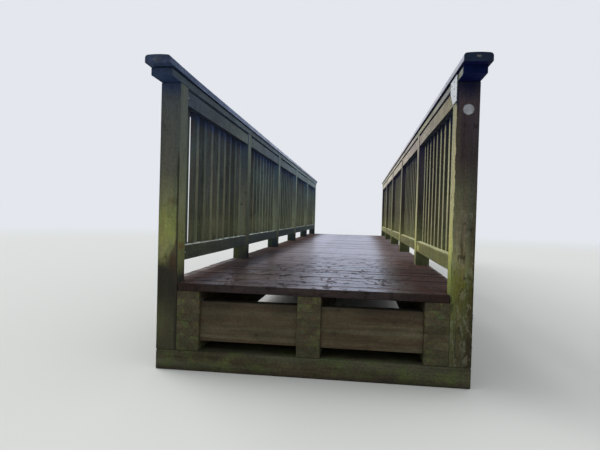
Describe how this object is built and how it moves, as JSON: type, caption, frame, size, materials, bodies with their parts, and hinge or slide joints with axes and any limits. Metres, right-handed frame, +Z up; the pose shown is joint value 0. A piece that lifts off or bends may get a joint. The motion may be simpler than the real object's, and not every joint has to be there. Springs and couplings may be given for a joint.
{
  "type": "wooden footbridge",
  "caption": "Straight timber footbridge of five bays, with picket parapets between square posts, a wide handrail on each side and a deck of cross boards on three beams.",
  "frame": {"origin": "middle of the bridge, level with the undersides of the two bank seats", "axes": "+X across the walkway to the right, +Y along the walkway to the far bank, +Z up"},
  "size_m": [1.875, 9.545, 1.819],
  "materials": {
    "post_wood": "matt, green with algae, dark at head and foot",
    "panel_wood": "matt, weathered softwood with green algae",
    "handrail_wood": "matt, nearly black green, damp on top",
    "deck_wood": "damp red-brown boards with a slight sheen",
    "beam_wood": "matt, brown, stained by run-off",
    "seat_wood": "matt, dark sawn timber",
    "galvanised": "dull galvanised",
    "marker": "matt pale grey"
  },
  "bodies": {
    "root": {"post_left_1": "post_wood", "post_left_2": "post_wood", "post_left_3": "post_wood", "post_left_4": "post_wood", "post_left_5": "post_wood", "post_left_6": "post_wood", "post_right_1": "post_wood", "post_right_2": "post_wood", "post_right_3": "post_wood", "post_right_4": "post_wood", "post_right_5": "post_wood", "post_right_6": "post_wood", "panel_left_1": "panel_wood", "panel_left_2": "panel_wood", "panel_left_3": "panel_wood", "panel_left_4": "panel_wood", "panel_left_5": "panel_wood", "panel_right_1": "panel_wood", "panel_right_2": "panel_wood", "panel_right_3": "panel_wood", "panel_right_4": "panel_wood", "panel_right_5": "panel_wood", "under_rail_left": "panel_wood", "under_rail_right": "panel_wood", "handrail_left": "handrail_wood", "handrail_right": "handrail_wood", "deck_boards_1": "deck_wood", "deck_boards_2": "deck_wood", "deck_boards_3": "deck_wood", "deck_boards_4": "deck_wood", "deck_boards_5": "deck_wood", "beam_left": "beam_wood", "beam_middle": "beam_wood", "beam_right": "beam_wood", "cross_blocks": "beam_wood", "bank_seat_near": "seat_wood", "bank_seat_far": "seat_wood", "post_plate": "galvanised", "marker_disc": "marker"}
  },
  "joints": []
}
